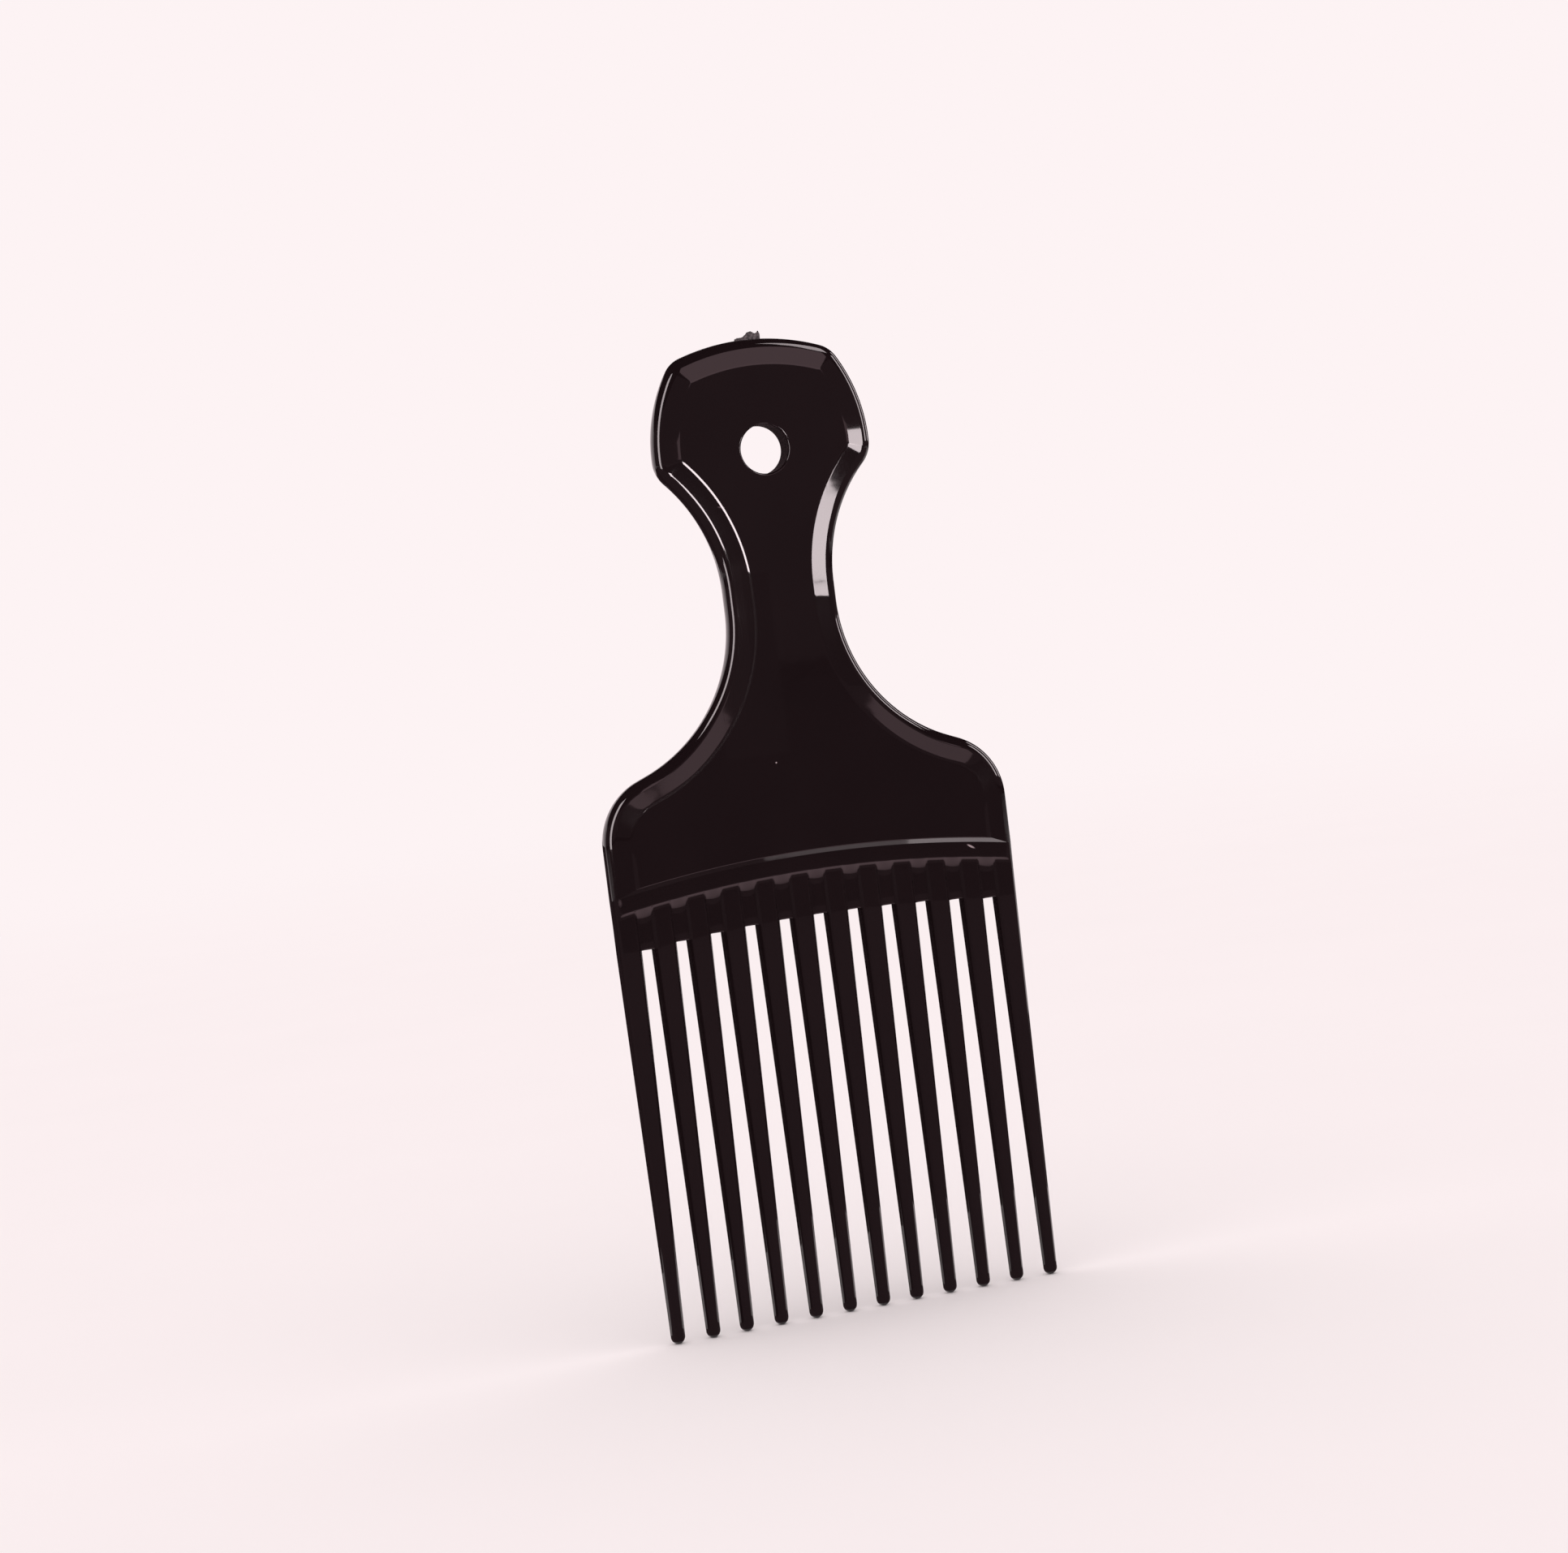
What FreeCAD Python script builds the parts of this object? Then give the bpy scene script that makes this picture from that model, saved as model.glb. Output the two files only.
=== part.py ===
import FreeCAD, Part
import math
import os

from FreeCAD import Vector

# Afro pick, moulded in one shot from glossy black plastic.
# Millimetres. Z runs along the pick with the teeth down, X across it, the front face looks along -Y.
# The origin is the middle of the hang hole. The mould parts on the plane Y = 0, and both faces are alike.

# Lengths along the pick, from the tips up. They add up to the overall length of 160.
tooth_length = 65.8        # tips to the end of the middle gap
bar_height = 9.95          # end of the middle gap to the top of the arched step
step_to_waist = 40.65      # top of the arched step to the narrowest part of the neck
waist_length = 3.2         # short straight stretch at the waist
waist_to_crown = 40.4      # waist to the top of the handle
hole_below_crown = 18.0

# Widths and the radii of the handle's outline
width = 69.0               # over the shoulders and the outer teeth
waist_width = 18.9
head_width = 36.8          # widest part of the head
crown_width = 27.0         # between the corners of the crown
crown_rise = 2.6           # crown above its corners
shoulder_radius = 11.0
shoulder_slope = 22.0      # degrees from level
flare_radius = 26.4        # hollow sweep from the shoulder to the waist
neck_radius = 26.6         # hollow sweep from the waist to the head
head_side_radius = 26.2
cheek_face_radius = 1.2    # corners of the flat face, which the rim's width makes larger outside
crown_face_radius = 0.7

# Section through the rim of the handle
handle_thickness = 4.8     # over the two flat faces
plate_thickness = 3.6      # over the tooth bar and the rim's outer crease
draft_depth = 1.0          # parting plane to the knee of the side wall
draft_inset = 0.35
wall_inset = 1.0           # parting line to the outer crease, seen from the front
bevel_width = 3.3          # outer crease to the flat face
hole_diameter = 8.0

# Arched step between the handle and the tooth bar
step_radius = 200.0
step_run = 0.8             # how far the sloping face of the step runs up the handle

# Teeth
tooth_count = 12
tooth_root_width = 4.25
tooth_tip_width = 2.4
tooth_tip_thickness = 2.2
tip_knee_inset = 0.2       # the tip's flanks, as the rim's wall
tip_knee_depth = 0.6
tip_flank_inset = 0.6
root_radius = 270.0        # arc through the ends of the gaps
tip_dome_steps = 4

# Grooves that run on from the gaps, up both faces of the tooth bar
groove_to_step = 2.85      # top of a groove below the arched step
groove_run_out = 1.25      # length of the scoop at the top of a groove

# Trimmed moulding gate on the crown
gate_width = 4.4
gate_thickness = 1.3
gate_height = 1.4
gate_left_height = 0.45    # at the side where the cut tore lower
gate_right_height = 1.1
gate_peak_offset = 0.5     # highest point beside the middle of the crown

# Heights worked out from the lengths, measured from the hole
crown_z = hole_below_crown
waist_high_z = crown_z - waist_to_crown
waist_low_z = waist_high_z - waist_length
step_z = waist_low_z - step_to_waist
root_z = step_z - bar_height
tip_z = root_z - tooth_length

half_handle = handle_thickness / 2
half_plate = plate_thickness / 2
rim_width = wall_inset + bevel_width
cheek_radius = cheek_face_radius + rim_width
crown_corner_radius = crown_face_radius + rim_width
tooth_pitch = (width - tooth_root_width) / (tooth_count - 1)
margin = 1.0               # how far a cutting tool stands clear of what it cuts


def meet(centre_a, radius_a, centre_b, radius_b, side):
    """Point where two circles in the XZ plane cross, to the right (+1) or left (-1) of the line a to b."""
    line = centre_b - centre_a
    gap = line.Length
    along = (radius_a ** 2 - radius_b ** 2 + gap ** 2) / (2 * gap)
    across = math.sqrt(radius_a ** 2 - along ** 2)
    ahead = line / gap
    right = Vector(ahead.z, 0, -ahead.x)
    return centre_a + ahead * along + right * (across * side)


def angle_to(start, end):
    """Direction from one point to another in the XZ plane, in radians."""
    return math.atan2(end.z - start.z, end.x - start.x)


def at_angle(centre, radius, angle):
    return centre + Vector(math.cos(angle), 0, math.sin(angle)) * radius


def arc(centre, radius, start, end):
    """Arc in the XZ plane between two angles."""
    angles = (start, (start + end) / 2, end)
    return Part.Arc(*[at_angle(centre, radius, a) for a in angles])


def handle_centres():
    """Centres of the arcs of the right-hand half of the handle's outline."""
    slope = math.radians(shoulder_slope)
    outward = Vector(math.sin(slope), 0, math.cos(slope))
    flare = Vector(waist_width / 2 + flare_radius, 0, waist_low_z)
    neck = Vector(waist_width / 2 + neck_radius, 0, waist_high_z)
    # the shoulder line touches the flare, and the shoulder's arc touches that line and the side
    touch = flare - outward * flare_radius
    shoulder_x = width / 2 - shoulder_radius
    reach = shoulder_x + shoulder_radius * outward.x - touch.x
    shoulder = Vector(shoulder_x, 0, touch.z - reach * math.tan(slope) - shoulder_radius * outward.z)
    # the cheek's arc rolls on the neck's arc
    cheek_x = head_width / 2 - cheek_radius
    rise = math.sqrt((neck_radius + cheek_radius) ** 2 - (neck.x - cheek_x) ** 2)
    cheek = Vector(cheek_x, 0, neck.z + rise)
    # the head's side holds the cheek's arc and runs through the corner of the crown
    corner = Vector(crown_width / 2, 0, crown_z - crown_rise)
    side = meet(cheek, head_side_radius - cheek_radius, corner, head_side_radius, -1)
    crown_radius = ((crown_width / 2) ** 2 + crown_rise ** 2) / (2 * crown_rise)
    crown = Vector(0, 0, crown_z - crown_radius)
    rounding = meet(side, head_side_radius - crown_corner_radius,
                    crown, crown_radius - crown_corner_radius, -1)
    return outward, shoulder, flare, neck, cheek, side, rounding, crown, crown_radius


def mirrored(point):
    return Vector(-point.x, point.y, point.z)


def step_arc(reach, lift):
    """The arched step, from the right-hand side to the left, at a half width and a lift above the foot."""
    centre = Vector(0, 0, step_z - step_radius)
    end = math.acos(reach / (step_radius + lift))
    return arc(centre, step_radius + lift, end, math.pi - end)


def handle_outline(inset, lift, y):
    """The handle's outline, drawn in by the inset, its foot on the arched step, moved to the depth y."""
    outward, shoulder, flare, neck, cheek, side, rounding, crown, crown_radius = handle_centres()
    foot = step_arc(width / 2 - inset, lift)
    lean = angle_to(Vector(), outward)
    to_cheek = angle_to(neck, cheek)
    to_side = angle_to(side, cheek)
    to_corner = angle_to(side, rounding)
    to_crown = angle_to(crown, rounding)
    rise = [
        arc(shoulder, shoulder_radius - inset, 0, lean),
        arc(flare, flare_radius + inset, lean + math.pi, math.pi),
        arc(neck, neck_radius + inset, math.pi, to_cheek),
        arc(cheek, cheek_radius - inset, to_cheek - math.pi, to_side),
        arc(side, head_side_radius - inset, to_side, to_corner),
        arc(rounding, crown_corner_radius - inset, to_corner, to_crown),
    ]
    right = []
    here = foot.StartPoint
    for bend in rise:
        if bend.StartPoint.distanceToPoint(here) > 1e-6:
            right.append(Part.LineSegment(here, bend.StartPoint))
        right.append(bend)
        here = bend.EndPoint
    top = arc(crown, crown_radius - inset, to_crown, math.pi - to_crown)
    left = []
    for piece in reversed(right):
        start, end = mirrored(piece.EndPoint), mirrored(piece.StartPoint)
        if isinstance(piece, Part.LineSegment):
            left.append(Part.LineSegment(start, end))
        else:
            middle = mirrored(piece.value((piece.FirstParameter + piece.LastParameter) / 2))
            left.append(Part.Arc(start, middle, end))
    foot.reverse()
    wire = Part.Wire([piece.toShape() for piece in right + [top] + left + [foot]])
    wire.translate(Vector(0, y, 0))
    return wire


def both_faces(sections):
    """Sections from the parting plane to the front, carried on to the back as their mirror image."""
    front = [(inset, lift, -depth) for inset, lift, depth in reversed(sections)]
    back = [(inset, lift, depth) for inset, lift, depth in sections[1:]]
    return front + back


def rim_wall():
    """Side wall from the parting line to the outer crease: inset, lift of the foot, depth."""
    return [(0, 0, 0), (draft_inset, 0, draft_depth), (wall_inset, 0, half_plate)]


def make_handle():
    flat = (rim_width, step_run, half_handle)
    wires = [handle_outline(*section) for section in both_faces(rim_wall() + [flat])]
    body = Part.makeLoft(wires, True, True)
    hole = Part.makeCylinder(hole_diameter / 2, handle_thickness + 2 * margin,
                             Vector(0, -half_handle - margin, 0), Vector(0, 1, 0))
    return body.cut(hole).Solids[0]


def tooth_x(index):
    return (index - (tooth_count - 1) / 2) * tooth_pitch


def gap_x(index):
    return tooth_x(index) + tooth_pitch / 2


def gap_end(index):
    """Height of the end of a gap, on the arc through the ends."""
    return root_z - root_radius + math.sqrt(root_radius ** 2 - gap_x(index) ** 2)


def tooth_seat(index):
    """Height where a tooth starts: the lower of the gaps beside it."""
    beside = [gap for gap in (index - 1, index) if 0 <= gap < tooth_count - 1]
    return min(gap_end(gap) for gap in beside)


def flank(knee_inset, knee_depth, inset, depth):
    """One side of a tooth from front to back, as insets from its widest line and depths."""
    return [(inset, -depth), (knee_inset, -knee_depth), (0, 0), (knee_inset, knee_depth), (inset, depth)]


root_flank = flank(draft_inset, draft_depth, wall_inset, half_plate)
tip_flank = flank(tip_knee_inset, tip_knee_depth, tip_flank_inset, tooth_tip_thickness / 2)


def closed(points):
    return Part.makePolygon(points + points[:1])


def flat_sided(start, end):
    """Solid with flat faces between two rings of points."""
    sides = [[start[i - 1], start[i], end[i], end[i - 1]] for i in range(len(start))]
    faces = [Part.Face(closed(ring)) for ring in [start, end] + sides]
    return Part.Solid(Part.Shell(faces))


def tooth_section(x, z, half_width, side, scale):
    """Cross-section of a tooth at a height, scaled about its middle."""
    right = [Vector(x + (half_width - inset) * scale, depth * scale, z) for inset, depth in side]
    left = [Vector(x - (half_width - inset) * scale, depth * scale, z) for inset, depth in side]
    return closed(right + left[::-1])


def make_tooth(index):
    """A tooth that tapers from its seat and ends in a dome."""
    x = tooth_x(index)
    dome = tooth_tip_width / 2
    sections = [tooth_section(x, tooth_seat(index), tooth_root_width / 2, root_flank, 1)]
    turns = [math.pi / 2 * step / tip_dome_steps for step in range(tip_dome_steps)]
    for turn in turns:
        height = tip_z + dome * (1 - math.sin(turn) / math.sin(turns[-1]))
        sections.append(tooth_section(x, height, dome, tip_flank, math.cos(turn)))
    return Part.makeLoft(sections, True, True)


def bar_outline(inset, lift, y):
    """Outline of the tooth bar down to the lowest seat, drawn in at its two sides."""
    reach = width / 2 - inset
    foot_z = tooth_seat(0)
    top = step_arc(reach, lift)
    corners = [top.EndPoint, Vector(-reach, 0, foot_z), Vector(reach, 0, foot_z), top.StartPoint]
    wire = Part.Wire([top.toShape()] + Part.makePolygon(corners).Edges)
    wire.translate(Vector(0, y, 0))
    return wire


def gap_cut(index):
    """The end of a gap in the bar, between the flanks of the two teeth beside it."""
    x = gap_x(index)
    half_gap = (tooth_pitch - tooth_root_width) / 2
    start = tooth_seat(0) - margin
    right = [Vector(x + half_gap + inset, depth, start) for inset, depth in root_flank]
    left = [Vector(x - half_gap - inset, depth, start) for inset, depth in root_flank]
    face = Part.Face(closed(right + left[::-1]))
    return face.extrude(Vector(0, 0, gap_end(index) - start))


def groove_cut(index, face_side):
    """A groove between two teeth that runs on above their gap and ends in a sloping scoop."""
    x = gap_x(index)
    half_gap = (tooth_pitch - tooth_root_width) / 2
    top = step_z - step_radius + math.sqrt(step_radius ** 2 - x ** 2) - groove_to_step
    start = tooth_seat(0) - margin
    groove_depth = half_plate - draft_depth
    # the flanks and the scoop are carried past the face of the bar by this share of the groove's depth
    past = 1 + margin / groove_depth
    floor = half_gap + draft_inset
    mouth = floor + (wall_inset - draft_inset) * past
    floor_y = face_side * draft_depth
    mouth_y = face_side * (draft_depth + groove_depth * past)
    scoop = top - groove_run_out
    corners = [(-floor, floor_y, scoop), (floor, floor_y, scoop),
               (mouth, mouth_y, scoop + groove_run_out * past), (-mouth, mouth_y, scoop + groove_run_out * past)]
    return flat_sided([Vector(x + across, y, start) for across, y, _ in corners],
                      [Vector(x + across, y, z) for across, y, z in corners])


def below_seats():
    """What lies under the seats of the teeth that start higher than the outer ones."""
    low = tooth_seat(0)
    blocks = []
    for index in range(tooth_count):
        height = tooth_seat(index) - low
        if height > 0:
            corner = Vector(tooth_x(index) - tooth_pitch / 2, -half_plate - margin, low - margin)
            blocks.append(Part.makeBox(tooth_pitch, plate_thickness + 2 * margin, height + margin, corner))
    return blocks


def make_tooth_bar():
    wires = [bar_outline(*section) for section in both_faces(rim_wall())]
    bar = Part.makeLoft(wires, True, True)
    cuts = below_seats()
    for index in range(tooth_count - 1):
        cuts.append(gap_cut(index))
        cuts += [groove_cut(index, face_side) for face_side in (-1, 1)]
    return bar.cut(cuts).Solids[0]


def make_gate_stub(handle):
    """What is left of the gate where the pick was cut off its runner, seated on the crown."""
    left = -gate_width / 2
    right = gate_width / 2
    foot = crown_z - crown_rise
    profile = closed([
        Vector(left, -gate_thickness / 2, foot),
        Vector(right, -gate_thickness / 2, foot),
        Vector(right, -gate_thickness / 2, crown_z + gate_right_height),
        Vector(gate_peak_offset, -gate_thickness / 2, crown_z + gate_height),
        Vector(left, -gate_thickness / 2, crown_z + gate_left_height),
    ])
    block = Part.Face(profile).extrude(Vector(0, gate_thickness, 0))
    pieces = block.cut(handle).Solids
    return max(pieces, key=lambda piece: piece.BoundBox.ZMax)


os.makedirs("parts", exist_ok=True)

handle = make_handle()
nodes = {
    "handle": handle,
    "tooth_bar": make_tooth_bar(),
    "gate_stub": make_gate_stub(handle),
}
for number in range(tooth_count):
    nodes["tooth_%02d" % (number + 1)] = make_tooth(number)

for name, shape in nodes.items():
    shape.exportStep("parts/%s.step" % name)
    box = shape.BoundBox
    print(name, shape.ShapeType, len(shape.Solids), "valid", shape.isValid(), "mm3 %.1f" % shape.Volume,
          "x %.2f..%.2f y %.2f..%.2f z %.2f..%.2f" % (box.XMin, box.XMax, box.YMin, box.YMax, box.ZMin, box.ZMax))
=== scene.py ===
# %% [markdown]
# # A moulded afro pick
# The pick is one shot of glossy black plastic: a flat handle with a bevelled rim, a thinner bar under an
# arched step, and twelve long teeth. CAD gives the sizes, and this lesson gives the looks. CAD solids
# come into Blender as flat facets, and gloss shows every facet, so each piece is made again here as a
# fine mesh with rounded creases. Each mesh stands where its CAD node stands.

import math
import random

import bmesh
import bpy
from mathutils import Matrix, Quaternion, Vector


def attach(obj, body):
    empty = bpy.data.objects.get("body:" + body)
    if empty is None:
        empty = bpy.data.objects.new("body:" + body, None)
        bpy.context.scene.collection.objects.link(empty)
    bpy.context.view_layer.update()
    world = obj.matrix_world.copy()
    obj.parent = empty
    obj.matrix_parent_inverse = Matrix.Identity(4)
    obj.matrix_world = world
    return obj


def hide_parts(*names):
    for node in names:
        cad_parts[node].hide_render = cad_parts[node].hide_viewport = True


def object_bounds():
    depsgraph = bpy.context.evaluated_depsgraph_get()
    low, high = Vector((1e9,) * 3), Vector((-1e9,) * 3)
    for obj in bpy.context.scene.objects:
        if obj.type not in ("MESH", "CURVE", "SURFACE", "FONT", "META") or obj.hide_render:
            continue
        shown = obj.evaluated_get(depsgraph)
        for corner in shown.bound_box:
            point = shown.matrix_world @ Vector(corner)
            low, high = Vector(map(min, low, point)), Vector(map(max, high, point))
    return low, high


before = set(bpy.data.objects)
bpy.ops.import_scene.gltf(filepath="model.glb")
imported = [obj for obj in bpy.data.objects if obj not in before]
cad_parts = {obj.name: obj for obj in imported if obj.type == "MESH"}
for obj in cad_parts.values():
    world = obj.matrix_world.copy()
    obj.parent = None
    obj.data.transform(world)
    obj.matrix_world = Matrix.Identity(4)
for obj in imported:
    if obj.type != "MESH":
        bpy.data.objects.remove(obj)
cad_low, cad_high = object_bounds()
cad_size_mm = [round((high - low) * 1000, 2) for low, high in zip(cad_low, cad_high)]
print("CAD nodes:", len(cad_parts), "box in mm:", cad_size_mm)

# %% [markdown]
# ## Camera
# The photograph looks at the front face from the left and a little from above, and the camera was held
# askew, so the pick leans in the picture. A camera could be pointed by a constraint, but yaw, pitch and
# roll as plain angles say how the shot was taken. The angles and the distance were fitted to the outline
# in the photograph.

# %% Camera at the photograph's angle
MM = 0.001
photo_width_px = 1932
focal_px = 3950
sensor_mm = 36.0
view_yaw = math.radians(16.12)
view_pitch = math.radians(2.84)
view_roll = math.radians(7.12)
# middle of the pick in millimetres, and where the camera sees that point: right, up, and away
aim_point = Vector((0, 0, -62))
aim_in_view = Vector((3.91, -8.33, -524.3))

level_view = Matrix.Rotation(-view_yaw, 3, "Z") @ Matrix.Rotation(math.pi / 2 - view_pitch, 3, "X")
view_axes = level_view @ Matrix.Rotation(-view_roll, 3, "Z")
camera_place = (aim_point - view_axes @ aim_in_view) * MM

camera_data = bpy.data.cameras.new("photo_camera")
camera_data.sensor_width = sensor_mm
camera_data.lens = sensor_mm * focal_px / photo_width_px
camera_data.clip_start = 0.01
camera_data.clip_end = 20
camera = bpy.data.objects.new("photo_camera", camera_data)
camera.matrix_world = Matrix.Translation(camera_place) @ view_axes.to_4x4()
bpy.context.scene.collection.objects.link(camera)
bpy.context.scene.camera = camera
bpy.context.scene.view_settings.view_transform = "Standard"
print("lens %.1f mm" % camera_data.lens, "camera at", [round(c / MM) for c in camera_place], "mm")

# %% [markdown]
# ## Outline of the handle
# The outline is a chain of arcs that run into each other: shoulder, hollow flare, hollow neck, cheek,
# side of the head, corner and crown. A Bezier curve could be traced by eye, but arcs are how such a mould
# is drawn. They also make insets easy: to draw the outline inward, a bulging arc loses the inset from its
# radius and a hollow one gains it, while every centre stays where it is.

# %% Sizes along and across the pick, in millimetres
crown_z = 18.0
waist_high_z = -22.4
waist_low_z = -25.6
tip_z = -142.0

half_width = 34.5
half_waist = 9.45
half_head = 18.4
half_crown = 13.5
crown_rise = 2.6
shoulder_radius = 11.0
shoulder_slope = math.radians(22)
flare_radius = 26.4
neck_radius = 26.6
head_side_radius = 26.2
cheek_radius = 5.5
crown_corner_radius = 5.0

print("length %.1f mm, width %.1f mm" % (crown_z - tip_z, 2 * half_width))


# %% Arcs of the right-hand half
def angle_to(start, end):
    return math.atan2(end.y - start.y, end.x - start.x)


def meet(centre_a, radius_a, centre_b, radius_b):
    """Where two circles cross, on the left of the line from a to b."""
    line = centre_b - centre_a
    along = (radius_a ** 2 - radius_b ** 2 + line.length_squared) / (2 * line.length)
    across = math.sqrt(radius_a ** 2 - along ** 2)
    ahead = line.normalized()
    return centre_a + ahead * along + Vector((-ahead.y, ahead.x)) * across


def outline_bends():
    """Arcs from the shoulder up to the crown.

    Each has a centre, a radius, a side (+1 bulging, -1 hollow), two angles and a count of steps.
    """
    outward = Vector((math.sin(shoulder_slope), math.cos(shoulder_slope)))
    flare = Vector((half_waist + flare_radius, waist_low_z))
    neck = Vector((half_waist + neck_radius, waist_high_z))
    touch = flare - outward * flare_radius
    shoulder_x = half_width - shoulder_radius
    reach = shoulder_x + shoulder_radius * outward.x - touch.x
    shoulder_z = touch.y - reach * math.tan(shoulder_slope) - shoulder_radius * outward.y
    shoulder = Vector((shoulder_x, shoulder_z))
    cheek_x = half_head - cheek_radius
    cheek_rise = math.sqrt((neck_radius + cheek_radius) ** 2 - (neck.x - cheek_x) ** 2)
    cheek = Vector((cheek_x, neck.y + cheek_rise))
    corner = Vector((half_crown, crown_z - crown_rise))
    side = meet(cheek, head_side_radius - cheek_radius, corner, head_side_radius)
    crown_radius = (half_crown ** 2 + crown_rise ** 2) / (2 * crown_rise)
    crown = Vector((0, crown_z - crown_radius))
    rounding = meet(side, head_side_radius - crown_corner_radius, crown, crown_radius - crown_corner_radius)
    lean = angle_to(Vector((0, 0)), outward)
    to_cheek = angle_to(neck, cheek)
    to_side = angle_to(side, cheek)
    to_corner = angle_to(side, rounding)
    to_crown = angle_to(crown, rounding)
    return [
        (shoulder, shoulder_radius, 1, 0, lean, 22),
        (flare, flare_radius, -1, lean + math.pi, math.pi, 34),
        (neck, neck_radius, -1, math.pi, to_cheek, 30),
        (cheek, cheek_radius, 1, to_cheek - math.pi, to_side, 20),
        (side, head_side_radius, 1, to_side, to_corner, 18),
        (rounding, crown_corner_radius, 1, to_corner, to_crown, 14),
        (crown, crown_radius, 1, to_crown, math.pi / 2, 18),
    ]


bends = outline_bends()
print("outline arcs on one half:", len(bends))


# %% Rings of the outline
step_z = -66.25              # middle of the arched step
step_radius = 200.0
foot_steps = 60


def step_height(x, lift=0.0):
    """Height of the arched step at a place across the pick."""
    return step_z - step_radius + math.sqrt((step_radius + lift) ** 2 - x ** 2)


def outline_ring(inset, lift):
    """One closed loop round the handle: up the right, down the left, back along the arched foot."""
    reach = half_width - inset
    right = [(reach, step_height(reach, lift))]
    for centre, radius, side, start, end, steps in bends:
        for step in range(steps + 1):
            angle = start + (end - start) * step / steps
            spoke = radius - side * inset
            right.append((centre.x + spoke * math.cos(angle), centre.y + spoke * math.sin(angle)))
    left = [(-x, z) for x, z in reversed(right[:-1])]
    foot = []
    for step in range(1, foot_steps):
        x = -reach + 2 * reach * step / foot_steps
        foot.append((x, step_height(x, lift)))
    return right + left + foot


print("points in a ring:", len(outline_ring(0, 0)))

# %% [markdown]
# ## Section through the rim
# From the parting line, where the two halves of the mould met, the edge stands upright, rolls over in a
# squarish quarter of an ellipse, climbs a shallow bevel and meets the flat face at a soft inner crease. A
# Bevel modifier could round a sharp rim, but the roll is much wider than the crease, and it is the roll
# that gives the soft pale edge and the thin line of light inside it. So the section is worked out point
# by point.

# %% A bent line with rounded corners
def rounded(corners, radii, steps=7):
    """Points along a bent line whose inner corners are rounded to the given radii."""
    points = [Vector(corners[0])]
    for before, corner, after, radius in zip(corners, corners[1:], corners[2:], radii):
        corner = Vector(corner)
        back = (Vector(before) - corner).normalized()
        on = (Vector(after) - corner).normalized()
        turn = math.pi - back.angle(on)
        cut = radius * math.tan(turn / 2)
        centre = corner + (back + on).normalized() * (radius / math.cos(turn / 2))
        spoke = corner + back * cut - centre
        way = 1 if back.cross(on) < 0 else -1
        for step in range(steps + 1):
            points.append(centre + Matrix.Rotation(way * turn * step / steps, 2) @ spoke)
    points.append(Vector(corners[-1]))
    return points


def height_at(points, x):
    """Reads a bent line as a curve: its second number where its first one is x."""
    for start, end in zip(points, points[1:]):
        if start.x <= x <= end.x and end.x > start.x:
            return start.y + (end.y - start.y) * (x - start.x) / (end.x - start.x)
    return points[0].y if x < points[0].x else points[-1].y


print("points on a line with one rounded corner:", len(rounded([(0, 0), (1, 0), (1, 1)], [0.2])))

# %% The rim's section
half_handle = 2.4            # half of the handle's thickness
rim_width = 4.3
witness_width = 0.1          # half of the fine raised line that the two halves of a mould leave
witness_height = 0.04
roll_inset = 3.2             # half axes of the squarish ellipse, across and through the pick
roll_depth = 2.023
roll_power = 2.75            # 2 is a plain ellipse, and more is squarer
inner_crease_radius = 5.0
roll_steps = 40
face_run = 0.5               # stretch of flat face that the inner crease may use


def rim_section():
    """Points from the parting line to the flat face, as (inset from the silhouette, depth)."""
    corner = Vector((rim_width, half_handle))
    points = [Vector((0, 0))]
    for step in range(1, roll_steps):
        turn = math.pi / 2 * step / roll_steps
        depth = roll_depth * math.sin(turn) ** (2 / roll_power)
        if depth < witness_width:
            continue
        bulge = math.cos(turn) ** (2 / roll_power)
        here = Vector((witness_height + (roll_inset - witness_height) * (1 - bulge), depth))
        ahead = corner - here
        last = here - points[-1]
        if len(points) > 2 and last.y * ahead.x < ahead.y * last.x:
            break
        points.append(here)
    crease = [points[-1], corner, corner + Vector((face_run, 0))]
    return points[:-1] + rounded(crease, [inner_crease_radius])[:-1]


rim_points = rim_section()
print("rim section from", rim_points[0][:], "to", [round(c, 2) for c in rim_points[-1]])

# %% [markdown]
# ## Handle
# The handle is a flat plate with the same rim all round, apart from its foot, where the arched step slopes
# down to the tooth bar. An extruded outline with a Bevel modifier is quicker, but it can't give the rim and
# the step different slopes. So rings are stacked through the thickness, like contour lines on a map: each
# depth has its own inset at the rim and its own lift on the step. Joining the rings gives clean strips of
# quads that follow the light. The flat faces are filled between the last ring and the rim of the hang hole.

# %% Depths, insets and lifts of the rings
half_plate = 1.8             # half of the tooth bar's thickness
step_run = 0.8
step_edge_radius = 0.3
sharp_radius = 1e-6          # the foot of the step stays a sharp line
bevel_ring_depth = 2.2       # one more ring on the bevel
closest_rings = 1e-4
foot_points = rounded(
    [(0, 0), (0, half_plate), (step_run, half_handle), (step_run + face_run, half_handle)],
    [sharp_radius, step_edge_radius],
)[:-1]


def swapped(points):
    """The same line with its two numbers changed over, so that it can be read by depth."""
    return [Vector((p.y, p.x)) for p in points]


ring_depths = []
for depth in sorted([p.y for p in rim_points + foot_points] + [bevel_ring_depth]):
    if not ring_depths or depth - ring_depths[-1] > closest_rings:
        ring_depths.append(depth)
ring_table = []
for depth in ring_depths:
    inset = height_at(swapped(rim_points), depth)
    lift = height_at(swapped(foot_points), depth)
    ring_table.append((depth, inset, lift))
ring_table[-1] = (half_handle, rim_points[-1].x, foot_points[-1].x)
print("rings on each face:", len(ring_table))


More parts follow.
